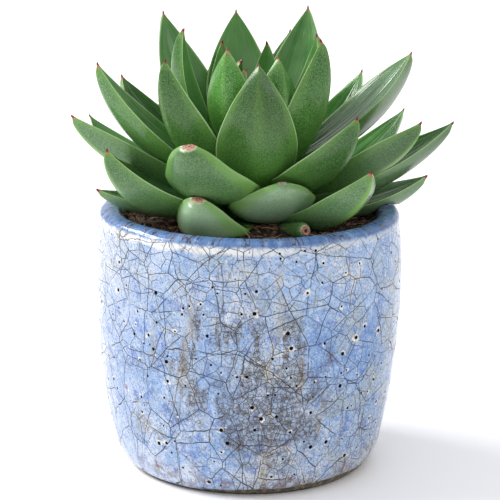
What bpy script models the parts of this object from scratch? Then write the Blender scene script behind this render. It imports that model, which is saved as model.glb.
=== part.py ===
"""A potted echeveria: a crackle-glazed stoneware pot, its soil and one leafy rosette.

The plant stands in a turned pot 130 mm across. Its leaves follow one another at the golden
angle, from the short ones in the heart to the long ones that spread over the rim, and all
are fused to a short stem that stands in a hole in the soil.
Metres, +Z up. The origin is the centre of the pot's flat foot, and -Y is the pot's front.
"""

import math

import bmesh
import bpy
from mathutils import Vector

MM = 0.001
CLEARANCE = 0.3 * MM
LIP_BERTH = 1.3 * MM

# The pot: radii of its outside and inside by height, in mm, between the flat foot and the lip
POT_HEIGHT = 111 * MM
LIP_RADIUS = 58.1 * MM
LIP_ROUND = 4.6 * MM
POT_OUTSIDE = (
    (49.5, 0), (52.3, 2.4), (56.2, 8.5), (58.6, 18), (61.0, 31),
    (63.1, 48), (64.5, 67), (65.0, 86), (64.3, 99),
)
POT_INSIDE = ((53.6, 99), (54.6, 86), (54.4, 67), (53.0, 48), (50.8, 31), (47.4, 18), (42.0, 11))
POT_FLOOR = 8 * MM
POT_SIDES = 48

# The soil: its level under the lip, how far it heaps up round the stem, and its crumb
SOIL_TOP = POT_HEIGHT - 6.4 * MM
SOIL_HEAP = 0.9 * MM
SOIL_CRUMB = 0.45 * MM
SOIL_SIDES = 48
SOIL_RINGS = 11
SOIL_SEAM = 2 * CLEARANCE
STEM_HOLE_DEPTH = 30 * MM

# The stem: a buried foot, and a short crown that the leaves grow from, as radii by rise over the lip
STEM_RADIUS = 6.5 * MM
CROWN = ((10.5, -4.2), (12.0, 1.0), (10.5, 7.0), (7.5, 13.0), (4.2, 18.5), (2.0, 21.5), (0, 22.0))
STEM_SIDES = 20

# The leaves, counted inwards from 0, the broad one that faces the front
GOLDEN_ANGLE = 137.5
FRONT_LEAF_TURN = 3
OUTERMOST = -27
INNERMOST = 18
LEAN = 7

# What single leaves do apart from the rule in leaf_habit: turn off the golden angle and roll
# in degrees, the tip's reach from the axis and rise over the lip and the width in mm, and
# the midrib's bend in degrees. A blunt leaf has lost its point and ends round.
HABITS = {
    12: dict(reach=13.5, rise=68, width=16),
    9: dict(reach=29, rise=66, width=18),
    8: dict(reach=31, rise=71, width=25, bend=66),
    7: dict(turn=-20, reach=27, rise=72.5, width=22),
    6: dict(turn=7, reach=28, rise=74.5, width=18),
    5: dict(turn=-10, reach=24, rise=67.5, width=24, bend=60),
    4: dict(turn=18, reach=36, rise=78, width=29),
    3: dict(turn=-6, reach=42, rise=66, width=32, bend=66),
    2: dict(turn=-26, reach=31.5, rise=73.5, width=33, bend=54),
    1: dict(turn=4, reach=50, rise=77.5, width=29, bend=55),
    0: dict(turn=1, reach=38, rise=65.5, width=34, bend=70, widest=0.44),
    -1: dict(turn=3, reach=40, rise=80.5, width=30),
    -2: dict(reach=64, rise=62, width=28, bend=52),
    -3: dict(turn=-3, reach=54, rise=45, width=33),
    -4: dict(reach=65, rise=58),
    -5: dict(turn=-6, reach=50, rise=34, width=34, bend=60, root=(5, 14), blunt=0.78),
    -6: dict(turn=4, reach=74, rise=61, width=38, bend=60, roll=-8),
    -7: dict(reach=61, rise=51, width=28),
    -8: dict(turn=7, reach=39, rise=15, width=28, bend=50, roll=12, root=(8, 7), blunt=0.78),
    -9: dict(reach=50, rise=68),
    -10: dict(reach=66, rise=30.5, width=36, bend=84, roll=3, root=(8, 8), thick=8),
    -11: dict(reach=73.5, rise=39.5, width=28, bend=42),
    -12: dict(reach=76, rise=33),
    -13: None,
    -14: dict(turn=8, reach=70, rise=50, width=26),
    -15: dict(reach=76, rise=36, width=26, bend=45, roll=8),
    -16: dict(reach=71, rise=26, width=34, bend=70),
    -17: dict(reach=84, rise=36),
    -18: dict(turn=12, reach=48, rise=9.5, width=29, bend=45, roll=-6, root=(9, -4), blunt=0.72, thick=10),
    -19: dict(reach=86, rise=35.5, width=26, bend=38),
    -20: dict(reach=90, rise=28, width=22, roll=10),
    -21: dict(turn=19, reach=48, rise=0, width=8, bend=10, root=(8, -5), blunt=0.9, thick=5),
    -22: dict(turn=-20, reach=86, rise=32.5, width=26),
    -23: dict(reach=66, rise=10.5, width=20, bend=40),
    -24: None,
    -25: dict(reach=84, rise=18),
    -26: None,
    -27: dict(turn=-20, reach=75.5, rise=12.5, width=22, bend=38),
}

# Every leaf: the margin's thickness in mm, the width at its root and its ends as shares of the
# widest, how its sections crowd towards the tip, and how its two faces curve across
LEAF_EDGE = 0.7
ROOT_WIDTH = 0.55
POINTED_END = 0.045
BLUNT_END = 0.12
TIP_CROWDING = 1.15
CHANNEL_CURVE = 1.8
BELLY_CURVE = 1.6


def clear_scene():
    """Start from an empty scene."""
    for item in list(bpy.data.objects):
        bpy.data.objects.remove(item, do_unlink=True)


def new_collection(name):
    collection = bpy.data.collections.new(name)
    bpy.context.scene.collection.children.link(collection)
    return collection


def material(name, colour, roughness):
    """A plain Principled material in the part's own colour."""
    made = bpy.data.materials.new(name)
    made.use_nodes = True
    shader = made.node_tree.nodes["Principled BSDF"]
    shader.inputs["Base Color"].default_value = (*colour, 1)
    shader.inputs["Roughness"].default_value = roughness
    shader.inputs["Metallic"].default_value = 0
    made.diffuse_color = (*colour, 1)
    return made


def smooth_through(points, steps):
    """Points on a Catmull-Rom curve through the given ones, so many to each stretch."""
    ends = [points[0], *points, points[-1]]
    line = []
    for before, start, end, after in zip(ends, ends[1:], ends[2:], ends[3:]):
        for step in range(steps):
            t = step / steps
            line.append(tuple(
                b + 0.5 * t * ((c - a) + t * ((2 * a - 5 * b + 4 * c - d) + t * (3 * b - a - 3 * c + d)))
                for a, b, c, d in zip(before, start, end, after)))
    return [*line, points[-1]]


def turned(name, profile, sides, collection, finish):
    """A solid of revolution: the profile in the XZ plane, from the axis round to the axis."""
    mesh = bpy.data.meshes.new(name)
    mesh.from_pydata([(r, 0, z) for r, z in profile], [(i, i + 1) for i in range(len(profile) - 1)], [])
    made = bpy.data.objects.new(name, mesh)
    collection.objects.link(made)
    screw = made.modifiers.new("turn", "SCREW")
    screw.axis = "Z"
    screw.steps = screw.render_steps = sides
    screw.use_merge_vertices = True
    screw.merge_threshold = 0.01 * MM
    settle(made)
    made.data.materials.append(finish)
    return made


def settle(made):
    """Apply the object's modifiers by taking its evaluated mesh."""
    evaluated = made.evaluated_get(bpy.context.evaluated_depsgraph_get())
    mesh = bpy.data.meshes.new_from_object(evaluated)
    made.modifiers.clear()
    made.data = mesh
    mesh.name = made.name


def build_pot(collection):
    """The turned pot: thin foot edge, full belly, rounded lip and plain inside."""
    finish = material("crackle_glaze", (0.22, 0.39, 0.68), 0.25)
    outside = [(r * MM, z * MM) for r, z in smooth_through(POT_OUTSIDE, 2)]
    inside = [(r * MM, z * MM) for r, z in smooth_through(POT_INSIDE, 2)]
    lip_height = POT_HEIGHT - LIP_ROUND
    turns = [math.radians(angle) for angle in range(180, -1, -30)]
    lip = [(LIP_RADIUS + LIP_ROUND * math.cos(a), lip_height + LIP_ROUND * math.sin(a)) for a in turns]
    floor = [(0, POT_FLOOR), (30 * MM, POT_FLOOR), (38 * MM, POT_FLOOR + 0.8 * MM)]
    profile = [*floor, *reversed(inside), *lip, *reversed(outside), (0, 0)]
    pot = turned("pot", profile, POT_SIDES, collection, finish)
    pot.data.shade_smooth()
    pot.data.set_sharp_from_angle(angle=math.radians(40))
    return pot


def inner_radius(height):
    """Radius of the pot's inside at a height, straight between the profile's points."""
    points = [(z * MM, r * MM) for r, z in reversed(POT_INSIDE)]
    for (low, near), (high, far) in zip(points, points[1:]):
        if height <= high:
            return near + (far - near) * (height - low) / (high - low)
    return points[-1][1]


def soil_heap(radius):
    """Level of the soil's low heap round the stem, before its crumb."""
    return SOIL_TOP + SOIL_HEAP * (1 - (radius / (54 * MM)) ** 2)


def soil_height(x, y):
    """Level of the soil's lumpy, crumbly top."""
    crumb = math.sin(x / (5.1 * MM) + 1.3) * math.sin(y / (4.3 * MM) + 0.4)
    crumb += 0.6 * math.sin((x + y) / (3.1 * MM)) * math.sin((x - y) / (3.7 * MM) + 2.1)
    return soil_heap(math.hypot(x, y)) + SOIL_CRUMB * crumb


def build_soil(collection):
    """The soil fills the pot, with a plain hole that the stem stands in."""
    finish = material("potting_soil", (0.09, 0.055, 0.035), 0.95)
    hole = STEM_RADIUS + CLEARANCE
    hole_floor = SOIL_TOP - STEM_HOLE_DEPTH
    bottom = POT_FLOOR + CLEARANCE
    rim = inner_radius(SOIL_TOP) - SOIL_SEAM
    top = [(hole + (rim - hole) * i / SOIL_RINGS, SOIL_TOP) for i in range(SOIL_RINGS + 1)]
    side = [(inner_radius(z * MM) - SOIL_SEAM, z * MM) for z in (86, 67, 48, 31, 18, 11.8)]
    floor = [(37 * MM, bottom + MM), (30 * MM, bottom), (0, bottom)]
    profile = [(0, hole_floor), (hole, hole_floor), *top, *side, *floor]
    soil = turned("soil", profile, SOIL_SIDES, collection, finish)
    for vertex in soil.data.vertices:
        if vertex.co.z > SOIL_TOP - 0.01 * MM:
            vertex.co.z = soil_height(vertex.co.x, vertex.co.y)
    soil.data.shade_smooth()
    return soil


def leaf_habit(count):
    """A leaf's form by its place in the spiral, with the departures of its own."""
    age = (INNERMOST - count) / (INNERMOST - OUTERMOST)
    heart = min(1, age / 0.3)
    habit = dict(
        turn=0, roll=0, bend=66 - 6 * age, blunt=0, widest=0.52,
        reach=2 + 28 * heart ** 2 + 56 * max(0, age - 0.3) / 0.7,
        rise=55 + 15 * heart ** 2 - 56 * max(0, age - 0.3) / 0.7,
        width=9 + 17 * heart + 3 * age,
        root=(3 + 6 * age, 20 - 22 * age),
        thick=3.5 + 1.5 * heart + 2.5 * age,
        channel=0.22 - 0.10 * age,
    )
    habit.update(HABITS.get(count) or {})
    habit["azimuth"] = math.radians(FRONT_LEAF_TURN - GOLDEN_ANGLE * count + habit["turn"])
    habit["detail"] = 0 if count > 9 else 1
    return habit


def outline(s, widest, blunt):
    """A leaf's width, as a share of its widest, along its length from 0 to 1."""
    if blunt and s > blunt:
        past = (s - blunt) / (1 - blunt)
        return max(BLUNT_END, outline(blunt, widest, 0) * math.sqrt(1 - past ** 2.6))
    if s < widest:
        return ROOT_WIDTH + (1 - ROOT_WIDTH) * math.sin(math.pi / 2 * s / widest) ** 1.2
    past = (s - widest) / (1 - widest)
    return max(POINTED_END, (1 - past ** 1.75) ** 0.95)


def ground(point):
    """The lowest that a leaf may lie at a point: over the soil, over the lip, then free."""
    radius = math.hypot(point.x, point.y)
    if abs(radius - LIP_RADIUS) < 2 * LIP_ROUND:
        return POT_HEIGHT + LIP_BERTH
    return soil_heap(radius) + 1.6 * SOIL_CRUMB + CLEARANCE if radius < LIP_RADIUS else 0


def leaf_rings(habit):
    """The closed sections of a leaf from root to tip, bent along its curved midrib."""
    azimuth = habit["azimuth"]
    outward = Vector((math.sin(azimuth), -math.cos(azimuth), 0))
    lean = math.radians(LEAN)
    up = Vector((0, -math.sin(lean), math.cos(lean)))
    forward = Vector((0, math.cos(lean), math.sin(lean)))
    root_reach, root_rise = habit["root"]
    root = Vector((outward.x * root_reach, 0, 0)) + forward * outward.y * root_reach + up * root_rise
    tip = outward * habit["reach"] + Vector((0, 0, habit["rise"]))
    chord = tip - root
    along = chord.normalized()
    inward = (up - 0.6 * outward).normalized()
    inward = (inward - along * inward.dot(along)).normalized()
    side = along.cross(inward)
    bend = math.radians(habit["bend"])
    length = chord.length / (math.sin(bend / 2) / (bend / 2))
    across = (-1, -0.55, 0, 0.55, 1) if habit["detail"] else (-1, 0, 1)
    stations = 8 if habit["detail"] else 6
    half = habit["width"] / 2
    roll = math.radians(habit["roll"])
    rings = []
    for station in range(stations + 1):
        s = 1 - (1 - station / stations) ** TIP_CROWDING
        turn = bend * (s - 0.5)
        run = length * (math.sin(turn) + math.sin(bend / 2)) / bend
        lift = length * (math.cos(bend / 2) - math.cos(turn)) / bend
        centre = root + along * run + inward * lift
        normal = inward * math.cos(turn) - along * math.sin(turn)
        flat = side * math.cos(roll) + normal * math.sin(roll)
        normal = normal * math.cos(roll) - side * math.sin(roll)
        share = outline(s, habit["widest"], habit["blunt"])
        width = half * share
        channel = 2 * habit["channel"] * width
        thick = habit["thick"] * min(1, 0.8 + 0.5 * s) * share ** 0.6
        upper = [(u * width, channel * abs(u) ** CHANNEL_CURVE) for u in across]
        belly = [LEAF_EDGE + thick * (1 - abs(u) ** BELLY_CURVE) for u in across]
        lower = [(sideways, height - depth) for (sideways, height), depth in zip(upper, belly)]
        section = [*upper, *reversed(lower)]
        above_lip = [centre + flat * sideways + normal * height for sideways, height in section]
        rings.append([point * MM + Vector((0, 0, POT_HEIGHT)) for point in above_lip])
    return rings


def loft(name, rings, collection):
    """A closed skin over a leaf's rings, split into triangles alike on its upper and under face."""
    shape = bmesh.new()
    rows = [[shape.verts.new(point) for point in ring] for ring in rings]
    count = len(rows[0])
    for near, far in zip(rows, rows[1:]):
        for i in range(count):
            j = (i + 1) % count
            if i < count // 2:
                shape.faces.new((near[i], near[j], far[j]))
                shape.faces.new((near[i], far[j], far[i]))
            else:
                shape.faces.new((near[i], near[j], far[i]))
                shape.faces.new((near[j], far[j], far[i]))
    for row in (rows[0], rows[-1]):
        for i in range(count // 2 - 1):
            shape.faces.new((row[i], row[i + 1], row[-i - 2]))
            shape.faces.new((row[i], row[-i - 2], row[-i - 1]))
    bmesh.ops.recalc_face_normals(shape, faces=shape.faces)
    mesh = bpy.data.meshes.new(name)
    shape.to_mesh(mesh)
    shape.free()
    made = bpy.data.objects.new(name, mesh)
    collection.objects.link(made)
    return made


def lay_on_ground(rings):
    """Lift the parts of a leaf that would sink into the soil or the lip, and keep its thickness."""
    for ring in rings:
        under_face = ring[len(ring) // 2:]
        for top, under in zip(ring, reversed(under_face)):
            under.z = max(under.z, ground(under))
            top.z = max(top.z, under.z + LEAF_EDGE * MM)
    return rings


def keep_outer_body(made):
    """Fill hollows that the union sealed and drop loose scraps: keep the largest skin."""
    shape = bmesh.new()
    shape.from_mesh(made.data)
    unseen = set(shape.faces)
    bodies = []
    while unseen:
        body = [unseen.pop()]
        for face in body:
            for edge in face.edges:
                for other in edge.link_faces:
                    if other in unseen:
                        unseen.remove(other)
                        body.append(other)
        bodies.append(body)
    bodies.sort(key=len, reverse=True)
    for body in bodies[1:]:
        bmesh.ops.delete(shape, geom=body, context="FACES")
    loose = [vertex for vertex in shape.verts if not vertex.link_faces]
    bmesh.ops.delete(shape, geom=loose, context="VERTS")
    shape.to_mesh(made.data)
    shape.free()


def build_rosette(collection, cutters):
    """The stem and its leaves, joined in one fleshy body."""
    finish = material("waxy_leaf", (0.16, 0.33, 0.13), 0.45)
    crown = [(r * MM, POT_HEIGHT + z * MM) for r, z in CROWN]
    neck = crown[0][1]
    foot = SOIL_TOP - STEM_HOLE_DEPTH + CLEARANCE
    profile = [*reversed(crown), (STEM_RADIUS, neck), (STEM_RADIUS, foot), (0, foot)]
    rosette = turned("rosette", profile, STEM_SIDES, collection, finish)
    for count in range(OUTERMOST, INNERMOST + 1):
        if HABITS.get(count, {}) is None:
            continue
        loft(f"leaf_{count - OUTERMOST:02d}", lay_on_ground(leaf_rings(leaf_habit(count))), cutters)
    union = rosette.modifiers.new("grow_together", "BOOLEAN")
    union.operation = "UNION"
    union.operand_type = "COLLECTION"
    union.solver = "MANIFOLD"
    union.collection = cutters
    settle(rosette)
    for leaf in list(cutters.objects):
        bpy.data.objects.remove(leaf, do_unlink=True)
    keep_outer_body(rosette)
    rosette.data.shade_smooth()
    rosette.data.set_sharp_from_angle(angle=math.radians(50))
    return rosette


def build():
    clear_scene()
    parts = new_collection("potted_echeveria")
    cutters = new_collection("leaves_to_join")
    build_pot(parts)
    build_soil(parts)
    build_rosette(parts, cutters)


build()
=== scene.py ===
"""The looks of a potted echeveria: a crackle-glazed pot, its soil and a waxy green rosette.

Metres in the model's own frame: +Z up, the pot's flat foot on the floor at the origin, and
-Y to the front.
"""

import math
import random

import bmesh
import bpy
from mathutils import Matrix, Vector, noise


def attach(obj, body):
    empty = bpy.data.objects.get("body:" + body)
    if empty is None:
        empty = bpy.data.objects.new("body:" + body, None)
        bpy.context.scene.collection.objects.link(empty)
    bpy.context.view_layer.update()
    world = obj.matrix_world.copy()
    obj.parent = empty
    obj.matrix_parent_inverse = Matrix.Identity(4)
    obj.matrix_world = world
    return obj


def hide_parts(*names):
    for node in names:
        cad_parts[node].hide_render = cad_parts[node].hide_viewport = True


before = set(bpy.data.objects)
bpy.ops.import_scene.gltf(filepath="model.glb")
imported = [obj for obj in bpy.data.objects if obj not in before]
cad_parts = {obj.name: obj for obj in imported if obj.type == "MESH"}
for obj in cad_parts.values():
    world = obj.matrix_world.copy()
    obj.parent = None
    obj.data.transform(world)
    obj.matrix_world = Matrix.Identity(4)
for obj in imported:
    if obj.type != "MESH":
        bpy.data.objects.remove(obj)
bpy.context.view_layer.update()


# The room
# A pale floor that runs out of sight under a white surround, with a large soft lamp high on the
# left and a little behind, a weaker one on the right, and a faint one in front.
FLOOR_REACH = 6.0
LAMP_AIM = Vector((0, 0, 0.11))


class Wire:
    """One output socket of a node tree, or only the tree, to start from.

    Every finish and tree is written as sums of sockets, so that a pattern reads as arithmetic: a
    value adds Math nodes, a vector adds Vector Math nodes, and node() adds the rest.
    """

    def __init__(self, tree, socket=None):
        self.tree = tree
        self.socket = socket

    def node(self, kind, settings=None, sockets=None, output=0):
        """Add a node: its settings first, then the values or wires of its sockets."""
        made = self.tree.nodes.new(kind)
        for name, value in (settings or {}).items():
            setattr(made, name, value)
        for name, value in (sockets or {}).items():
            if isinstance(value, Wire):
                self.tree.links.new(value.socket, made.inputs[name])
            else:
                made.inputs[name].default_value = value
        return Wire(self.tree, made.outputs[output])

    def sum(self, operation, first, second):
        """A Math node, or a Vector Math node where one of the two is a vector."""
        vectors = [
            isinstance(item, Vector) or isinstance(item, Wire) and item.socket.type == "VECTOR"
            for item in (first, second)]
        if not any(vectors):
            return self.node("ShaderNodeMath", {"operation": operation}, {0: first, 1: second})
        if operation == "MULTIPLY" and not all(vectors):
            arrow, size = (first, second) if vectors[0] else (second, first)
            return self.node("ShaderNodeVectorMath", {"operation": "SCALE"}, {0: arrow, 3: size})
        return self.node("ShaderNodeVectorMath", {"operation": operation}, {0: first, 1: second})

    def __add__(self, other):
        return self.sum("ADD", self, other)

    def __radd__(self, other):
        return self.sum("ADD", other, self)

    def __sub__(self, other):
        return self.sum("SUBTRACT", self, other)

    def __rsub__(self, other):
        return self.sum("SUBTRACT", other, self)

    def __mul__(self, other):
        return self.sum("MULTIPLY", self, other)

    def __rmul__(self, other):
        return self.sum("MULTIPLY", other, self)

    def __truediv__(self, other):
        return self.sum("DIVIDE", self, other)

    def __rtruediv__(self, other):
        return self.sum("DIVIDE", other, self)

    def __pow__(self, other):
        return self.sum("POWER", self, other)

    def above(self, limit):
        return self.sum("GREATER_THAN", self, limit)

    def least(self, other):
        return self.sum("MINIMUM", self, other)

    def most(self, other):
        return self.sum("MAXIMUM", self, other)

    def maths(self, operation):
        """A Math node of one value, such as SINE or ABSOLUTE."""
        return self.node("ShaderNodeMath", {"operation": operation}, {0: self})

    def between(self, low, high):
        """0 up to low, 1 from high on, and smooth between them; high may be the lower one."""
        sockets = {"Value": self, "From Min": low, "From Max": high, "To Min": 0, "To Max": 1}
        if high < low:
            sockets.update({"From Min": high, "From Max": low, "To Min": 1, "To Max": 0})
        return self.node("ShaderNodeMapRange", {"interpolation_type": "SMOOTHSTEP"}, sockets)

    def parts(self):
        """The three numbers of a vector."""
        return [self.node("ShaderNodeSeparateXYZ", {}, {0: self}, axis) for axis in (0, 1, 2)]

    def vector(self, x, y, z):
        return self.node("ShaderNodeCombineXYZ", {}, {0: x, 1: y, 2: z})

    def length(self):
        return self.node("ShaderNodeVectorMath", {"operation": "LENGTH"}, {0: self}, 1)

    def noise(self, scale, detail=2, roughness=0.5):
        """Even noise from 0 to 1 round 0.5, with so many grains to the metre."""
        sockets = {"Vector": self, "Scale": scale, "Detail": detail, "Roughness": roughness}
        return self.node("ShaderNodeTexNoise", {}, sockets, "Fac")

    def drift(self, scale):
        """A noisy vector round 0, to bend a pattern with."""
        colour = self.node("ShaderNodeTexNoise", {}, {"Vector": self, "Scale": scale, "Detail": 1}, "Color")
        return self.node("ShaderNodeVectorMath", {"operation": "SUBTRACT"}, {0: colour, 1: (0.5, 0.5, 0.5)})

    def tint(self, factor, colour, blend="MIX"):
        """This colour, mixed with another by a factor."""
        settings = {"data_type": "RGBA", "blend_type": blend}
        if not isinstance(colour, Wire):
            colour = (*colour, 1)
        return self.node("ShaderNodeMix", settings, {0: factor, 6: self, 7: colour}, 2)

    def colour(self, *channels):
        """A plain colour to tint from."""
        plain = self.node("ShaderNodeRGB")
        plain.socket.default_value = (*channels, 1)
        return plain

    def ramp(self, *stops):
        """A colour by this value, between stops that are each a place and a colour."""
        ramp = self.node("ShaderNodeValToRGB", {}, {"Fac": self}, "Color")
        elements = ramp.socket.node.color_ramp.elements
        while len(elements) < len(stops):
            elements.new(1)
        for element, (place, colour) in zip(elements, stops):
            element.position = place
            element.color = (*colour, 1)
        return ramp

    def fact(self, name):
        """A number that the mesh carries under a name."""
        return self.node("ShaderNodeAttribute", {"attribute_name": name}, output="Fac")

    def bump(self, strength):
        """The normal of a surface with this relief, in metres."""
        sockets = {"Height": self, "Distance": 1.0, "Strength": strength}
        return self.node("ShaderNodeBump", {}, sockets, "Normal")


def new_finish(name):
    """A node material, its starting wire and its shader."""
    finish = bpy.data.materials.new(name)
    finish.use_nodes = True
    return finish, Wire(finish.node_tree), finish.node_tree.nodes["Principled BSDF"]


bpy.context.scene.view_settings.view_transform = "Standard"
world = bpy.data.worlds.new("white_surround")
bpy.context.scene.world = world
world.use_nodes = True
world.node_tree.nodes["Background"].inputs["Color"].default_value = (0.98, 0.98, 0.98, 1)
world.node_tree.nodes["Background"].inputs["Strength"].default_value = 0.83

floor_mesh = bpy.data.meshes.new("floor")
corners = [(-1, -1), (1, -1), (1, 1), (-1, 1)]
corners = [(x * FLOOR_REACH, y * FLOOR_REACH, 0) for x, y in corners]
floor_mesh.from_pydata(corners, [], [(0, 1, 2, 3)])
floor = bpy.data.objects.new("floor", floor_mesh)
bpy.context.scene.collection.objects.link(floor)
floor_finish, _, floor_shader = new_finish("pale_floor")
floor_shader.inputs["Base Color"].default_value = (0.97, 0.965, 0.985, 1)
floor_shader.inputs["Roughness"].default_value = 0.7
floor_mesh.materials.append(floor_finish)


def soft_lamp(name, place, width, height, power):
    """An area lamp that looks at the middle of the plant."""
    data = bpy.data.lights.new(name, "AREA")
    data.shape = "RECTANGLE"
    data.size = width
    data.size_y = height
    data.energy = power
    lamp = bpy.data.objects.new(name, data)
    lamp.location = place
    lamp.rotation_euler = (LAMP_AIM - Vector(place)).to_track_quat("-Z", "Y").to_euler()
    bpy.context.scene.collection.objects.link(lamp)


soft_lamp("key_lamp", (-2.1, 0.5, 1.8), 2.0, 0.8, 98)
soft_lamp("fill_lamp", (1.9, -0.5, 1.3), 1.4, 1.4, 11)
soft_lamp("front_lamp", (-0.6, -1.6, 0.8), 1.2, 1.2, 2)

# The camera stands 0.9 m in front and looks down a little, with a long lens
camera_data = bpy.data.cameras.new("camera")
camera_data.sensor_width = 36
camera_data.lens = 157.8
camera_data.shift_x = 0.0012
camera = bpy.data.objects.new("camera", camera_data)
camera.matrix_world = (
    Matrix.Translation((0, -0.900, 0.3245))
    @ Matrix.Rotation(math.radians(90 - 14.52), 4, "X")
    @ Matrix.Rotation(math.radians(0.65), 4, "Z"))
bpy.context.scene.collection.objects.link(camera)
bpy.context.scene.camera = camera


# The pot
# Turned stoneware under a thick blue glaze that has crazed into a net of stained cracks and
# opened in black pinholes where gas burst through. The foot is bare, and the glaze stops over
# it in an uneven roll.
MM = 0.001
POT_HEIGHT = 111 * MM
LIP_RADIUS = 58.1 * MM
LIP_ROUND = 4.6 * MM
LIP_FLARE = 0.9 * MM
POT_OUTSIDE = (
    (49.5, 0), (52.3, 2.4), (56.2, 8.5), (58.6, 18), (61.0, 31),
    (63.1, 48), (64.5, 67), (65.0, 86), (64.3, 99),
)
POT_INSIDE = ((53.6, 99), (54.6, 86), (54.4, 67), (53.0, 48), (50.8, 31), (47.4, 18), (42.0, 11))
POT_FLOOR = 8 * MM
POT_SIDES = 240
MAP_RADIUS = 62 * MM
PINHOLES = 330
PINHOLE_DEPTH = 0.6 * MM
PINHOLE_SPACING = 1.8 * MM
PINHOLE_ROW = 4 * MM
GLAZE_ROLL = 0.3 * MM
GLAZE_ROLL_RISE = 2.4
FINE_RINGS = 14


def smooth_through(points, steps):
    """Points on a Catmull-Rom curve through the given ones, so many to each stretch."""
    ends = [points[0], *points, points[-1]]
    line = []
    for before, start, end, after in zip(ends, ends[1:], ends[2:], ends[3:]):
        for step in range(steps):
            t = step / steps
            line.append(tuple(
                b + 0.5 * t * ((c - a) + t * ((2 * a - 5 * b + 4 * c - d) + t * (3 * b - a - 3 * c + d)))
                for a, b, c, d in zip(before, start, end, after)))
    return [*line, points[-1]]


def evenly(line, gap):
    """Points so far apart along a line of (radius, height)."""
    spaced = [line[0]]
    carried = 0
    for (r0, z0), (r1, z1) in zip(line, line[1:]):
        length = math.hypot(r1 - r0, z1 - z0)
        while carried + length >= gap:
            share = (gap - carried) / length
            r0, z0 = r0 + (r1 - r0) * share, z0 + (z1 - z0) * share
            length -= gap - carried
            carried = 0
            spaced.append((r0, z0))
        carried += length
    return spaced


def turned_shape(profile, sides):
    """A shape turned from a profile that starts and ends on the axis, closed at both poles."""
    shape = bmesh.new()
    rings = []
    for r, z in profile[1:-1]:
        ring = []
        for side in range(sides):
            turn = math.tau * side / sides
            ring.append(shape.verts.new((r * math.sin(turn), -r * math.cos(turn), z)))
        rings.append(ring)
    for near, far in zip(rings, rings[1:]):
        for i in range(sides):
            j = (i + 1) % sides
            shape.faces.new((near[i], near[j], far[j], far[i]))
    for ring, (_, z) in ((rings[0], profile[0]), (rings[-1], profile[-1])):
        pole = shape.verts.new((0, 0, z))
        for i in range(sides):
            shape.faces.new((ring[i], ring[(i + 1) % sides], pole))
    bmesh.ops.recalc_face_normals(shape, faces=shape.faces)
    return shape


def glaze_edge(turn):
    """Height at which the glaze stops over the foot, by the turn round the pot."""
    return (3.0 + 1.5 * math.sin(turn * 2) + 0.35 * math.sin(turn * 7 + 2) + 0.2 * math.sin(turn * 17)) * MM


outside = [(r * MM, z * MM) for r, z in smooth_through(POT_OUTSIDE, 12)]
inside = [(r * MM, z * MM) for r, z in smooth_through(POT_INSIDE, 2)]
lip = []
for degrees in range(170, 9, -10):
    angle = math.radians(degrees)
    out = math.cos(angle)
    out = out * LIP_ROUND if out < 0 else out ** 0.75 * (LIP_ROUND + LIP_FLARE)
    lip.append((LIP_RADIUS + out, POT_HEIGHT - LIP_ROUND + LIP_ROUND * math.sin(angle)))
lip_inside, lip_outside = lip[:8], lip[8:]
down_wall = evenly([*lip_outside, *reversed(outside)], 0.4 * MM)
wall = [*down_wall[:-FINE_RINGS:4], *down_wall[-FINE_RINGS:]]
pot_profile = [
    (0, POT_FLOOR), (15 * MM, POT_FLOOR), (30 * MM, POT_FLOOR), (38 * MM, POT_FLOOR + 0.8 * MM),
    *reversed(inside), *lip_inside, *wall, (49.2 * MM, 0), (30 * MM, 0), (15 * MM, 0), (0, 0)]
pot_shape = turned_shape(pot_profile, POT_SIDES)

# Pinholes lie at random all round, each with a radius of its own
draw = random.Random(11)
pinholes = []
while len(pinholes) < PINHOLES:
    turn = draw.uniform(-math.pi, math.pi)
    height = draw.choice((draw.uniform(4, 107), draw.triangular(4, 107, 45))) * MM
    radius = draw.choice((0.4, 0.4, 0.45, 0.45, 0.5, 0.6, 0.75)) * MM
    if all(math.hypot((turn - t) * MAP_RADIUS, height - z) > PINHOLE_SPACING for t, z, _ in pinholes):
        pinholes.append((turn, height, radius))


def by_pinhole(place):
    """How far a place on the wall is from the nearest pinhole's middle, and that hole's radius."""
    turn = math.atan2(place.x, -place.y)
    round_wall = math.hypot(place.x, place.y)
    best = (1, 1)
    for t, z, radius in pinhole_rows[int(place.z // PINHOLE_ROW)]:
        gap = abs(turn - t)
        gap = min(gap, math.tau - gap) * round_wall
        if gap < PINHOLE_ROW:
            best = min(best, (math.hypot(gap, place.z - z), radius))
    return best


pinhole_rows = [
    [hole for hole in pinholes if (row - 1) * PINHOLE_ROW <= hole[1] < (row + 2) * PINHOLE_ROW]
    for row in range(30)]
outer = [face for face in pot_shape.faces if face.calc_center_median().xy.length > LIP_RADIUS - 9 * MM]
near_holes = []
for face in outer:
    middle = face.calc_center_median()
    if face.normal.z > -0.95 and middle.dot(face.normal) > 0 and by_pinhole(middle)[0] < 1.9 * MM:
        near_holes.append(face)
edges = list({edge for face in near_holes for edge in face.edges})
bmesh.ops.subdivide_edges(pot_shape, edges=edges, cuts=4, use_grid_fill=True)

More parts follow.
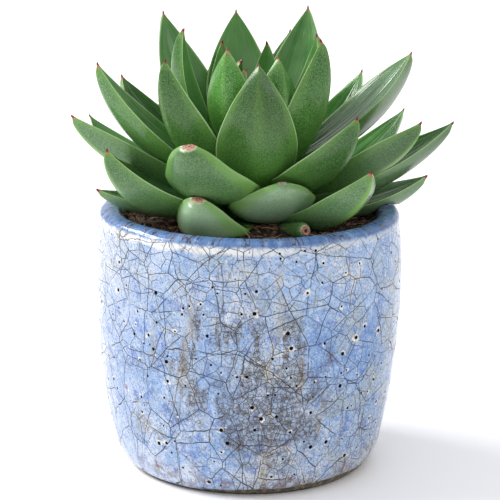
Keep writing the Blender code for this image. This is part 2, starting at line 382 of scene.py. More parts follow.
hole_layer = pot_shape.verts.layers.float.new("pinhole")
edge_layer = pot_shape.verts.layers.float.new("over_edge")
for vertex in pot_shape.verts:
    place = vertex.co
    vertex[hole_layer] = 5
    if place.xy.length < 1 * MM:
        continue
    turn = math.atan2(place.x, -place.y)
    outward = Vector((place.x, place.y, 0)).normalized()
    wobble = noise.noise(place * 22) * 0.5 + noise.noise(place * 60) * 0.2
    is_outer = place.xy.length > LIP_RADIUS - 4.2 * MM
    if is_outer and place.z > 0.5 * MM:
        vertex.co += outward * wobble * MM * min(1, place.z / (20 * MM))
    if is_outer and place.z > POT_HEIGHT - 5 * MM:
        vertex.co.z += 0.3 * MM * noise.noise(Vector((math.sin(turn), math.cos(turn), 0)) * 2.2)
    over_edge = (place.z - glaze_edge(turn)) / MM
    vertex[edge_layer] = over_edge
    is_low = place.z < 20 * MM and place.xy.length > 48 * MM
    if is_low and over_edge < 0:
        vertex.co -= outward * GLAZE_ROLL
    elif is_low and over_edge < GLAZE_ROLL_RISE:
        vertex.co += outward * GLAZE_ROLL * math.sin(math.pi * over_edge / GLAZE_ROLL_RISE)
    if is_outer:
        gap, radius = by_pinhole(place)
        vertex[hole_layer] = gap / radius if gap < 1 else 5
        if gap < radius * 1.25:
            vertex.co -= outward * PINHOLE_DEPTH * (1 - (gap / (1.25 * radius)) ** 2) ** 2
pot_mesh = bpy.data.meshes.new("glazed_pot")
pot_shape.to_mesh(pot_mesh)
pot_shape.free()
pot_mesh.shade_smooth()
pot = bpy.data.objects.new("glazed_pot", pot_mesh)
bpy.context.scene.collection.objects.link(pot)

# The glaze: washes of blue over white, nets of cracks in four sizes, and stains that
# gathered in the finest of them
LONG_CELL = 27 * MM
CRACK_CELL = 13 * MM
FINE_CELL = 6 * MM
CRAZE_CELL = 2.0 * MM

pot_finish, start, pot_shader = new_finish("crackle_glaze")
place = start.node("ShaderNodeTexCoord", output="Object")
x, y, z = place.parts()
reach = (x * x + y * y).maths("SQRT")
up_wall = z + 62.7 * MM - reach
to_front = (y * -1 / reach).between(-0.2, 0.2)
down_streak = start.vector(x / reach * MAP_RADIUS, y / reach * MAP_RADIUS, z * 0.2)


def feed(shader, **wires):
    """Join wires to the shader's sockets, whose names have spaces for underscores."""
    tree = shader.id_data
    for name, wire in wires.items():
        tree.links.new(wire.socket, shader.inputs[name.replace("_", " ")])


def crack_gap(cell, bend, shift):
    """Distance to the nearest crack of a net, from a map of the front and one of the back."""
    sides = []
    for sign in (1, -1):
        turn = start.node("ShaderNodeMath", {"operation": "ARCTAN2"}, {0: x * sign, 1: y * -sign})
        flat = start.vector(turn * MAP_RADIUS + (shift + sign), up_wall, 0)
        flat = flat + flat.drift(45) * bend + flat.drift(260) * (bend * 0.2)
        settings = {"feature": "DISTANCE_TO_EDGE", "voronoi_dimensions": "2D"}
        sockets = {"Vector": flat, "Scale": 1 / cell, "Randomness": 0.95}
        gap = start.node("ShaderNodeTexVoronoi", settings, sockets, "Distance")
        sides.append(gap * cell)
    return sides[0] * to_front + sides[1] * (1 - to_front)


def dots(scale, size, share, shift):
    """Round specks of a size, kept in a share of the cells that they lie in."""
    spread = place + Vector((shift, 0, 0))
    settings = {"feature": "F1", "voronoi_dimensions": "3D"}
    sockets = {"Vector": spread, "Scale": scale, "Randomness": 1.0}
    gap = start.node("ShaderNodeTexVoronoi", settings, sockets, "Distance") / scale
    lot = start.node("ShaderNodeTexVoronoi", settings, sockets, "Color")
    lot = start.node("ShaderNodeSeparateColor", {}, {0: lot}, 0)
    return gap.between(size, size * 0.6) * lot.between(share + 0.02, share)


patches = place.noise(24, 3, 0.55)
small_patches = place.noise(85, 3, 0.6)
mottle = place.noise(420, 3, 0.65)
grain = place.noise(1300, 2, 0.7)
long_streaks = down_streak.noise(125, 3, 0.6)
to_right = x.between(-20 * MM, 45 * MM)

# Washes: deep blue where the glaze lies thick, whitish where it lies thinner, paler to the left, greyer to
# the right, and paler low down as painted light from the floor
wash = patches * 0.85 + small_patches * 0.6 + mottle * 0.75 + grain * 0.55 - 0.375
high_up = z.between(72 * MM, 98 * MM)
# Paler over the lowest 24 mm of the wall: painted light bounced up from the floor
wash = wash - x * 0.9 + high_up * 0.08 + z.between(24 * MM, 6 * MM) * 0.2
glaze = wash.ramp(
    (0.60, (0.042, 0.110, 0.36)), (0.80, (0.110, 0.235, 0.50)),
    (0.98, (0.26, 0.39, 0.61)), (1.0, (0.27, 0.40, 0.62)))
glaze = glaze.tint(wash.between(0.97, 1.32), (0.57, 0.61, 0.69))
grey = place.noise(60, 4, 0.65).between(0.47, 0.60) * (0.2 + 0.45 * to_right.most(high_up * 0.6))
glaze = glaze.tint(grey, (0.33, 0.38, 0.38))
# Darker towards the far left edge of the wall: painted shade
glaze = glaze.tint(x.between(-30 * MM, -60 * MM) * 0.4, (0.27, 0.30, 0.40))
deep = place.noise(160, 4, 0.7).between(0.54, 0.64) * (0.7 - 0.35 * high_up)
glaze = glaze.tint(deep, (0.065, 0.145, 0.44))
glaze = glaze.tint(place.noise(190, 4, 0.7).between(0.42, 0.30) * 0.6, (0.60, 0.63, 0.68))
glaze = glaze.tint(grain.between(0.54, 0.65) * 0.75, (0.06, 0.09, 0.20))
glaze = glaze.tint(grain.between(0.44, 0.32) * 0.5, (0.66, 0.69, 0.74))

# Thin places under the lip and in long runs down the wall, where the cream body shows through; the pale band
# under the lip is also a painted highlight, stronger on the left where the key lamp's highlight falls
thin_glaze_and_highlight = (z + (small_patches - 0.5) * 5 * MM).between(104.6 * MM, 106.4 * MM)
glaze = glaze.tint(thin_glaze_and_highlight * (0.35 + 0.5 * to_right.between(1, 0)), (0.72, 0.72, 0.70))
runs = long_streaks.between(0.57, 0.66) * patches.between(0.40, 0.55)
glaze = glaze.tint(runs * 0.6, (0.36, 0.33, 0.26))
glaze = glaze.tint(runs * mottle.between(0.45, 0.6) * z.between(85 * MM, 60 * MM) * 0.8, (0.12, 0.095, 0.075))


def round_spot(x_middle, z_middle, far, near):
    """1 within a ragged round spot on the front, and 0 beyond it."""
    middle = Vector((x_middle * MM, -MAP_RADIUS, z_middle * MM))
    gap = ((place - middle) * Vector((0.9, 1, 1))).length()
    return (gap + (small_patches - 0.5) * 45 * MM).between(far * MM, near * MM)


# Stains: a large one low on the front that ran down from above, and smaller ones round it
stained = round_spot(11, 35, 26, 10)
drips = down_streak.noise(190, 3, 0.6).between(0.45, 0.55)
stained = stained.most(round_spot(-1, 56, 36, 20) * drips)
low_down = (z + x * 0.2).between(75 * MM, 50 * MM) * z.between(14 * MM, 24 * MM)
stained = stained.most(place.noise(48, 3, 0.6).between(0.56, 0.66) * 0.7 * low_down)
dirty = place.noise(480, 5, 0.85).between(0.48, 0.55) * stained
glaze = glaze.tint(stained * 0.4, (0.17, 0.185, 0.205))
glaze = glaze.tint(dirty * 0.85, (0.075, 0.058, 0.041))
rusty = (place.noise(130, 4, 0.75) + z.between(35 * MM, 5 * MM) * 0.07).between(0.64, 0.71)
glaze = glaze.tint(rusty * 0.75, (0.13, 0.065, 0.07))

# Fine scratches that slant over the whole wall
slant = start.vector(x * 0.8 + z * 0.6, y, (z * 0.8 - x * 0.6) * 0.16)
scratches = (slant.noise(520, 3, 0.65) - 0.5).maths("ABSOLUTE").between(0.03, 0.008)
glaze = glaze.tint(scratches * mottle.between(0.40, 0.55) * 0.5, (0.06, 0.075, 0.13))

# Cracks: four nets, each finer and fainter than the last, pale along parts of the largest two
long_gap = crack_gap(LONG_CELL, 9 * MM, 0)
middle_gap = crack_gap(CRACK_CELL, 5 * MM, 5)
fine_gap = crack_gap(FINE_CELL, 3 * MM, 3)
craze_gap = crack_gap(CRAZE_CELL, 1.2 * MM, 7)
flank = long_gap.least(middle_gap).between(0.9 * MM, 0.2 * MM) * place.noise(48, 2).between(0.56, 0.66)
glaze = glaze.tint(flank * mottle.between(0.40, 0.55) * 0.7, (0.64, 0.60, 0.52))
lines = long_gap.between(0.28 * MM, 0.09 * MM) * (0.5 + 0.5 * place.noise(60).between(0.35, 0.55))
fading = 0.35 + 0.65 * place.noise(75).between(0.35, 0.5)
lines = lines.most(middle_gap.between(0.26 * MM, 0.08 * MM) * fading)
lines = lines.most(fine_gap.between(0.20 * MM, 0.06 * MM) * place.noise(55).between(0.38, 0.54) * 0.9)
crazed = (stained * 0.9).most(patches.between(0.45, 0.6) * 0.4)
lines = lines.most(craze_gap.between(0.16 * MM, 0.05 * MM) * crazed)
glaze = glaze.tint(lines, (0.007, 0.009, 0.018))

# Specks, and the pinholes with their pale rims
glaze = glaze.tint(dots(420, 0.36 * MM, 0.6, 0) * 0.85, (0.025, 0.04, 0.12))
glaze = glaze.tint(dots(150, 0.50 * MM, 0.35, 1) * 0.85, (0.020, 0.024, 0.045))
to_left = x.between(10 * MM, -30 * MM)
glaze = glaze.tint(dots(210, 0.75 * MM, 0.22, 2) * to_left * 0.8, (0.70, 0.69, 0.66))
small_holes = dots(210, 0.42 * MM, 0.22, 2) * to_left
glaze = glaze.tint(small_holes, (0.006, 0.005, 0.005))
hole = start.fact("pinhole")
halo = (hole + (mottle - 0.5) * 11).between(2.3, 1.5) * place.noise(260).between(0.47, 0.60)
glaze = glaze.tint(halo * 0.85, (0.72, 0.68, 0.60))
in_hole = hole.between(1.35, 0.95)
glaze = glaze.tint(in_hole, (0.006, 0.005, 0.005))

# The lip is a deeper blue with dark rusty lines across it, and the foot rusty above its bare clay
lip_band = (z + (mottle - 0.5) * 1.6 * MM).between(107.6 * MM, 109.0 * MM)
glaze = glaze.tint(lip_band * 0.92, (0.045, 0.130, 0.33))
across_streaks = (down_streak + place * 0.25).noise(300, 4, 0.7)
glaze = glaze.tint(lip_band * across_streaks.between(0.52, 0.66) * 0.4, (0.30, 0.42, 0.60))
glaze = glaze.tint(lip_band * across_streaks.between(0.46, 0.36) * 0.45, (0.018, 0.060, 0.19))
across_lip = ((down_streak + place * 0.15).noise(230, 3, 0.6) - 0.5).maths("ABSOLUTE")
across_lip = across_lip + (1 - lip_band) + place.noise(110).between(0.52, 0.40) * 0.1
glaze = glaze.tint(across_lip.between(0.06, 0.03) * 0.4, (0.17, 0.11, 0.075))
glaze = glaze.tint(across_lip.between(0.032, 0.012) * 0.85, (0.022, 0.030, 0.055))
foot_rust = z.between(17 * MM, 4 * MM) * place.noise(110, 3, 0.7).between(0.50, 0.62)
glaze = glaze.tint(foot_rust * 0.65, (0.15, 0.10, 0.11))

bare = (start.fact("over_edge") + (grain - 0.5) * 0.5).between(0.15, -0.15)
clay_and_contact_shade = start.colour(0.045, 0.036, 0.022)
clay_and_contact_shade = clay_and_contact_shade.tint(mottle.between(0.40, 0.62), (0.17, 0.135, 0.085))
# The lowest 1.4 mm of the bare foot near black: painted contact shadow where the pot meets the floor
clay_and_contact_shade = clay_and_contact_shade.tint(z.between(1.4 * MM, 0.4 * MM) * 0.9, (0.007, 0.006, 0.005))
glaze = glaze.tint(bare, clay_and_contact_shade)
roughness = 0.11 + lines * 0.3 + dirty * 0.25 + bare * 0.6
relief = (mottle - 0.5) * 0.12 * MM + (place.noise(120) - 0.5) * 0.5 * MM - lines * 0.10 * MM
feed(
    pot_shader, Base_Color=glaze, Roughness=roughness, Metallic=in_hole.most(small_holes),
    Normal=relief.bump(0.55))
pot_mesh.materials.append(pot_finish)
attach(pot, "root")
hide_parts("pot")


# The soil
# Peaty potting mix pressed into the pot: a lumpy body with loose crumbs and curly coir fibres
# strewn over its top.
SOIL_TOP = POT_HEIGHT - 6.4 * MM
SOIL_HEAP = 0.9 * MM
SOIL_RIM = 54.0 * MM
STEM_HOLE = 6.8 * MM
STEM_HOLE_DEPTH = 30 * MM


def soil_level(x, y):
    """Height of the soil's top, lumpy but without its loose crumbs."""
    heap = SOIL_HEAP * (1 - (math.hypot(x, y) / SOIL_RIM) ** 2)
    heap += 3 * MM * math.exp(-((x - 9 * MM) ** 2 + (y + 25 * MM) ** 2) / (8 * MM) ** 2)
    lumps = noise.noise(Vector((x, y, 0)) * 150) * 0.7 + noise.noise(Vector((x, y, 1)) * 420) * 0.5
    return SOIL_TOP + heap + lumps * MM


hole_floor = SOIL_TOP - STEM_HOLE_DEPTH
top_rings = [(STEM_HOLE + (SOIL_RIM - 0.4 * MM - STEM_HOLE) * i / 60, SOIL_TOP) for i in range(61)]
soil_side = [(r * MM - 0.6 * MM, z * MM) for r, z in POT_INSIDE[1:]]
soil_profile = [
    (0, hole_floor), (STEM_HOLE, hole_floor), *top_rings, *soil_side,
    (37 * MM, 9.3 * MM), (30 * MM, 8.3 * MM), (0, 8.3 * MM)]
soil_shape = turned_shape(soil_profile, 180)
for vertex in soil_shape.verts:
    if vertex.co.z > SOIL_TOP - 0.01 * MM:
        vertex.co.z = soil_level(vertex.co.x, vertex.co.y)
soil_mesh = bpy.data.meshes.new("soil_body")
soil_shape.to_mesh(soil_mesh)
soil_shape.free()
soil_mesh.shade_smooth()
soil = bpy.data.objects.new("soil_body", soil_mesh)
bpy.context.scene.collection.objects.link(soil)

soil_finish, start, soil_shader = new_finish("potting_soil")
place = start.node("ShaderNodeTexCoord", output="Object")
earth = (place.noise(500, 3, 0.7) * 0.5 + start.fact("tone") * 0.6 - 0.05).ramp(
    (0.0, (0.008, 0.006, 0.005)), (0.45, (0.038, 0.023, 0.015)),
    (0.75, (0.110, 0.060, 0.034)), (1.0, (0.30, 0.17, 0.09)))
feed(soil_shader, Base_Color=earth, Normal=(place.noise(1800, 3, 0.7) * 0.4 * MM).bump(0.9))
soil_shader.inputs["Roughness"].default_value = 0.92
soil_mesh.materials.append(soil_finish)

fibre_finish, start, fibre_shader = new_finish("coir_fibre")
coir = start.fact("tone").ramp(
    (0.0, (0.04, 0.022, 0.012)), (0.6, (0.19, 0.095, 0.045)), (1.0, (0.44, 0.28, 0.16)))
feed(fibre_shader, Base_Color=coir)
fibre_shader.inputs["Roughness"].default_value = 0.8


def new_growth(name, inputs):
    """A Geometry Nodes tree with named inputs: its starting wire and its inputs' wires."""
    tree = bpy.data.node_groups.new(name, "GeometryNodeTree")
    for label, kind in {"Geometry": "Geometry", **inputs, "Finish": "Material"}.items():
        tree.interface.new_socket(label, in_out="INPUT", socket_type="NodeSocket" + kind)
    entry = tree.nodes.new("NodeGroupInput")
    return Wire(tree), {socket.name: Wire(tree, socket) for socket in entry.outputs if socket.name}


def finish_growth(geometry, inputs):
    """Give the geometry its material and end the tree with it."""
    tree = geometry.tree
    sockets = {"Geometry": geometry, "Material": inputs["Finish"]}
    geometry = geometry.node("GeometryNodeSetMaterial", {}, sockets, "Geometry")
    tree.interface.new_socket("Geometry", in_out="OUTPUT", socket_type="NodeSocketGeometry")
    tree.links.new(geometry.socket, tree.nodes.new("NodeGroupOutput").inputs[0])


def grow(name, base, tree, values):
    """Run a tree on a mesh with its inputs' values, and return the result as a plain mesh object."""
    holder = bpy.data.objects.new(name, base)
    bpy.context.scene.collection.objects.link(holder)
    growth = holder.modifiers.new("grow", "NODES")
    growth.node_group = tree
    for item in tree.interface.items_tree:
        if item.name in values:
            growth[item.identifier] = values[item.name]
    evaluated = holder.evaluated_get(bpy.context.evaluated_depsgraph_get())
    mesh = bpy.data.meshes.new_from_object(evaluated)
    mesh.name = name
    holder.modifiers.remove(growth)
    holder.data = mesh
    return holder


def stored(geometry, name, value, kind="FLOAT"):
    """The geometry with a value kept at each point under a name."""
    settings = {"data_type": kind, "domain": "POINT"}
    sockets = {"Geometry": geometry, "Name": name, "Value": value}
    return geometry.node("GeometryNodeStoreNamedAttribute", settings, sockets, "Geometry")


def placed(points, **sockets):
    """Copies of an Instance at the points, as one mesh."""
    copies = points.node("GeometryNodeInstanceOnPoints", {}, {"Points": points, **sockets}, "Instances")
    return points.node("GeometryNodeRealizeInstances", {}, {"Geometry": copies}, "Geometry")


def moved(geometry, **sockets):
    """The geometry with a new Position, or moved by an Offset."""
    return geometry.node("GeometryNodeSetPosition", {}, {"Geometry": geometry, **sockets}, "Geometry")


def position(start):
    return start.node("GeometryNodeInputPosition")


def random_number(start, low, high, seed):
    return start.node("FunctionNodeRandomValue", {"data_type": "FLOAT"}, {2: low, 3: high, "Seed": seed}, 1)


def random_vector(start, low, high, seed):
    settings = {"data_type": "FLOAT_VECTOR"}
    return start.node("FunctionNodeRandomValue", settings, {0: low, 1: high, "Seed": seed}, 0)


def strewn_points(start, inputs, what, tone_seed):
    """Points at random over the soil's top but not its sides, each with a tone of its own."""
    settings = {"data_type": "FLOAT", "domain": "FACE"}
    face_height = start.node("GeometryNodeFieldOnDomain", settings, {0: position(start).parts()[2]})
    points = start.node("GeometryNodeDistributePointsOnFaces", {}, {
        "Mesh": inputs["Geometry"], "Selection": face_height.above(SOIL_TOP - 1.5 * MM),
        "Density": inputs[what + " per square metre"], "Seed": inputs["Seed"]}, "Points")
    return stored(points, "tone", random_number(start, 0.0, 1.0, tone_seed))


def held_in(geometry):
    """The geometry, with what would stick into the pot's wall pressed back against its inside."""
    x, y, z = position(geometry).parts()
    pull = ((SOIL_RIM - 1 * MM) / (x * x + y * y).maths("SQRT")).least(1)
    return moved(geometry, Position=geometry.vector(x * pull, y * pull, z))


# Crumbs: lumps of peat strewn over the top, turned and sized at random
start, inputs = new_growth("soil_crumbs", {
    "Crumbs per square metre": "Float", "Smallest": "Float", "Largest": "Float", "Seed": "Int"})
points = strewn_points(start, inputs, "Crumbs", 6)
lump = start.node("GeometryNodeMeshIcoSphere", {}, {"Radius": 1.0, "Subdivisions": 2}, "Mesh")
size = random_number(start, inputs["Smallest"], inputs["Largest"], 3)
turn = random_vector(start, (0, 0, 0), (math.tau, math.tau, math.tau), 4)
stretch = random_vector(start, (0.7, 0.5, 0.4), (1.4, 1.0, 0.8), 5)
strewn = placed(points, Instance=lump, Rotation=turn, Scale=stretch * size)
strewn = moved(strewn, Offset=position(start).drift(900) * (0.9 * MM))
finish_growth(held_in(strewn), inputs)
crumbs = grow("soil_crumbs", soil_mesh.copy(), start.tree, {
    "Crumbs per square metre": 230000, "Smallest": 0.4 * MM, "Largest": 1.9 * MM, "Seed": 21,
    "Finish": soil_finish})

# Fibres: short curls of coir laid flat over the crumbs
start, inputs = new_growth("soil_fibres", {
    "Fibres per square metre": "Float", "Length": "Float", "Thickness": "Float", "Seed": "Int"})
points = strewn_points(start, inputs, "Fibres", 8)
strand = start.node("GeometryNodeCurvePrimitiveLine", {"mode": "DIRECTION"}, {
    "Direction": (1, 0, 0), "Length": inputs["Length"]}, "Curve")
strand = start.node("GeometryNodeResampleCurve", {}, {"Curve": strand, "Count": 12}, "Curve")
turn = random_vector(start, (0, -0.35, 0), (0, 0.1, math.tau), 9)
size = random_number(start, 0.35, 1.0, 10)
strewn = placed(points, Instance=strand, Rotation=turn, Scale=size)
curl = position(start).drift(220) * (9 * MM)
strewn = held_in(moved(strewn, Offset=curl * Vector((1, 1, 0.35)) + Vector((0, 0, 1.0 * MM))))
ring = start.node("GeometryNodeCurvePrimitiveCircle", {}, {
    "Resolution": 5, "Radius": inputs["Thickness"]}, "Curve")
strewn = start.node("GeometryNodeCurveToMesh", {}, {
    "Curve": strewn, "Profile Curve": ring, "Fill Caps": True}, "Mesh")
finish_growth(strewn, inputs)
fibres = grow("soil_fibres", soil_mesh.copy(), start.tree, {
    "Fibres per square metre": 55000, "Length": 12 * MM, "Thickness": 0.13 * MM, "Seed": 5,
    "Finish": fibre_finish})

for piece in (soil, crumbs, fibres):
    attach(piece, "root")
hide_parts("soil")


# The skin of the leaves
# Deep glossy green above, paler below under a thin bloom, with pale margins and a red spine;
# where a leaf has lost its tip, a dry scar. The blade's own attributes say where each lies.
leaf_finish, start, leaf_shader = new_finish("waxy_leaf")
place = start.node("ShaderNodeTexCoord", output="Object")
s, u, under, tone = [start.fact(name) for name in ("s", "u", "under", "tone")]
age, scar, from_end, bloom = [start.fact(name) for name in ("age", "scar", "from_end", "bloom")]
healed = scar.above(0)
whole = 1 - healed
across = u.maths("ABSOLUTE")
powder = place.noise(1900, 2, 0.8)
cloud = place.noise(70, 3, 0.55)
along_blade = start.vector(u * 7, s * 1.1, tone * 40).noise(1.0, 3, 0.55)

upper = start.colour(0.034, 0.140, 0.022)
upper = upper.tint(cloud.between(0.35, 0.7) * 0.7, (0.10, 0.27, 0.07))
upper = upper.tint(age.between(0.5, 0.3) * 0.4, (0.12, 0.30, 0.085))
upper = upper.tint(powder.between(0.50, 0.66) * 0.22, (0.15, 0.34, 0.12))
glossy = age.between(0.36, 0.46) * age.between(0.66, 0.58)
upper = upper.tint(glossy * age.between(0.46, 0.52) * 0.6, (0.030, 0.095, 0.028))
# Pale streaks and thin gleam lines along the older leaves' upper faces: painted reflections of the bright
# surround
gleam = (along_blade - 0.5).maths("ABSOLUTE").between(0.028, 0.006) * along_blade.between(0.49, 0.50)
upper = upper.tint(along_blade.between(0.52, 0.62) * glossy * 0.3, (0.22, 0.32, 0.20))
upper = upper.tint(gleam * glossy * 0.3, (0.45, 0.55, 0.42))
lower = start.colour(0.016, 0.055, 0.007)
lower = lower.tint(cloud.between(0.3, 0.7) * 0.5 + tone * 0.2, (0.034, 0.105, 0.016))
lower = lower.tint(age.between(0.40, 0.20) * 0.55, (0.085, 0.30, 0.050))
# Lighter and yellower towards the root: partly the paler base of the real leaf, partly painted light where
# the leaves shade each other
lower = lower.tint((1 - s) ** 1.6 * (0.6 + 0.6 * age.between(0.85, 0.35)), (0.18, 0.50, 0.065))
lower = lower.tint(powder.between(0.48, 0.66) * 0.36, (0.070, 0.21, 0.040))
lower = lower.tint(bloom * (0.9 + 0.6 * cloud) * (0.35 + 0.75 * s.between(0.05, 0.6)), (0.24, 0.37, 0.22))
lower = lower.tint(s.between(0.6, 1.0) * (1 - bloom) * 0.3, (0.060, 0.21, 0.035))
lower = lower.tint(powder.between(0.52, 0.42) * (0.7 - bloom * 0.35 - age * 0.25), (0.008, 0.032, 0.004))
lower = lower.tint(powder.between(0.55, 0.63) * (1 - bloom) * 0.35, (0.20, 0.42, 0.14))
# Each leaf's lower face darker or lighter by its tone; the front leaf's tone of 0 in HABITS makes it the
# darkest, partly as painted shade
shade = 0.68 + 0.50 * tone
lower = lower.tint(1.0, start.vector(shade, shade, shade), "MULTIPLY")
skin = upper.tint(under, lower)
skin = skin.tint(across.between(0.70, 0.98) * (0.8 - 0.4 * whole), (0.14, 0.30, 0.06))
skin = skin.tint(across.between(0.965, 0.99) * (0.2 + 0.45 * whole), (0.38, 0.56, 0.26))
skin = skin.tint(across.between(0.92, 0.975) * (1 - under) * whole * 0.5, (0.42, 0.60, 0.34))
red_edge = across.between(0.94, 0.97) * s.between(0.6, 0.95) * cloud.between(0.45, 0.6)
skin = skin.tint(red_edge * whole * 0.25, (0.30, 0.15, 0.05))
keel_line = across.between(0.28, 0.02) * s.between(0.2, 0.8) * under * whole
skin = skin.tint(keel_line * (0.15 + 0.55 * age.between(0.5, 0.7)), (0.20, 0.40, 0.06))

# The end, by the distance from its middle: a spine on a whole leaf, a scar on a blunt one
to_end = from_end + (place.noise(700, 2) - 0.5) * 1.2 * MM
spine_share = to_end / (0.7 + 0.5 * tone)
skin = skin.tint(spine_share.between(9 * MM, 3 * MM) * whole * 0.25, (0.20, 0.38, 0.08))
skin = skin.tint(spine_share.between(3.2 * MM, 1.9 * MM) * whole * 0.7, (0.40, 0.12, 0.07))
skin = skin.tint(to_end.between(2.1 * MM, 1.2 * MM) * whole, (0.13, 0.016, 0.018))
scar_share = to_end / scar.most(0.01 * MM)
crust = place.noise(1100, 3, 0.7)
skin = skin.tint(scar_share.between(1.35, 1.0) * healed * 0.9, (0.46, 0.40, 0.27))
skin = skin.tint(scar_share.between(1.0, 0.8) * crust.between(0.40, 0.55) * healed, (0.48, 0.17, 0.14))
skin = skin.tint(scar_share.between(1.1, 0.9) * crust.between(0.50, 0.40) * healed, (0.07, 0.045, 0.03))
skin = skin.tint(scar_share.between(0.45, 0.3) * healed, (0.03, 0.018, 0.012))
roughness = 0.19 + 0.11 * under + (powder - 0.5) * 0.15
roughness = roughness + scar_share.between(1.1, 0.9) * healed * 0.4
creases = start.vector(u * 4, s * 0.6, tone * 40).noise(1.0, 1)
creased = (0.7 + 3 * age.between(0.46, 0.52)) * (1 - under) * MM
relief = powder * 0.035 * MM + cloud * 0.3 * MM + creases * creased
feed(
    leaf_shader, Base_Color=skin, Roughness=roughness, Coat_Weight=0.2 - 0.1 * under,
    Normal=relief.bump(0.4))
leaf_shader.inputs["Specular IOR Level"].default_value = 0.28
leaf_shader.inputs["Coat Roughness"].default_value = 0.12


# The stem
# The plant's own short stem, a green crown between the leaves' roots. It goes down into the soil
# as a straight peg, which stands for its buried end and its roots.
STEM_RADIUS = 6.5 * MM
CROWN = ((10.5, -4.2), (12.0, 1.0), (10.5, 7.0), (7.5, 13.0), (4.2, 18.5), (2.0, 21.5), (0, 22.0))


def skinned_piece(name, shape, end, **facts):
    """Make a piece in the leaves' skin from a shape, what the skin reads, and where its end is."""
    layers = {fact: shape.verts.layers.float.new(fact) for fact in (*facts, "from_end")}
    for vertex in shape.verts:
        for fact, value in facts.items():
            vertex[layers[fact]] = value
        vertex[layers["from_end"]] = (vertex.co - end).length
    mesh = bpy.data.meshes.new(name)
    shape.to_mesh(mesh)
    shape.free()
    mesh.shade_smooth()
    mesh.materials.append(leaf_finish)
    made = bpy.data.objects.new(name, mesh)
    bpy.context.scene.collection.objects.link(made)
    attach(made, "root")


crown_line = [(r * MM, POT_HEIGHT + z * MM) for r, z in smooth_through(CROWN, 4)]
neck = crown_line[0][1]
foot = SOIL_TOP - STEM_HOLE_DEPTH + 0.3 * MM
stem_line = [*reversed(crown_line), (STEM_RADIUS, neck), (STEM_RADIUS, foot), (0, foot)]
skinned_piece(
    "rosette_stem", turned_shape(stem_line, 48), Vector((0, 0, 1)),
    s=0.1, u=0.4, under=1, tone=0.5, age=0.2, scar=0, bloom=0.1)


# The broken leaf
# A leaf at the front that snapped near its root: a round stub over the soil, healed at its end
# into a ringed brown scar.
STUB_TURN = 29.5
STUB_ROOT = (12.0, -7.5)
STUB_END = (46.5, -0.8)
STUB_RADIUS = 3.4 * MM
STUB_SCAR = 2.1 * MM
STUB_SCAR_RINGS = ((0.95, 0.1), (0.85, 0.35), (0.7, 0.3), (0.5, 0), (0.3, 0.1), (0.15, -0.2))

stub_turn = math.radians(STUB_TURN)
stub_ends = [
    Vector((math.sin(stub_turn) * r, -math.cos(stub_turn) * r, z)) * MM + Vector((0, 0, POT_HEIGHT))
    for r, z in (STUB_ROOT, STUB_END)]
stub_axis = stub_ends[1] - stub_ends[0]
stub_length = stub_axis.length
shoulder = stub_length - STUB_RADIUS
stub_profile = [(0, 0)]
for step in range(13):
    stub_profile.append((STUB_RADIUS * (0.72 + 0.28 * step / 12), shoulder * step / 12))
for step in range(1, 10):
    turn = math.radians(step * 8)
    stub_profile.append((
        STUB_RADIUS * math.cos(turn) ** 0.7, stub_length - STUB_RADIUS * (1 - math.sin(turn) * 0.95)))
for share, height in STUB_SCAR_RINGS:
    stub_profile.append((STUB_SCAR * share, stub_length + (height - 0.25) * MM))
stub_profile.append((0, stub_length - 0.6 * MM))
stub_shape = turned_shape(stub_profile, 40)
for vertex in stub_shape.verts:
    vertex.co.y *= 0.92
    vertex.co += vertex.normal * noise.noise(vertex.co * 250) * 0.25 * MM
stub_tilt = stub_axis.to_track_quat("Z", "X").to_matrix().to_4x4()
stub_shape.transform(Matrix.Translation(stub_ends[0]) @ stub_tilt)
skinned_piece(
    "broken_leaf", stub_shape, stub_ends[1],
    s=0.5, u=0.3, under=1, tone=0.1, age=0.5, scar=STUB_SCAR, bloom=0.2)


# The leaves
# Thick pointed blades, one after another at the golden angle up the stem, hollowed above and
# keeled below, with a red spine at each tip. Three at the front have lost their points and
# healed round. One tree grows them all from a point for each.
GOLDEN_ANGLE = 137.5
FRONT_LEAF_TURN = 3
OUTERMOST = -27
INNERMOST = 18
LEAN = 7

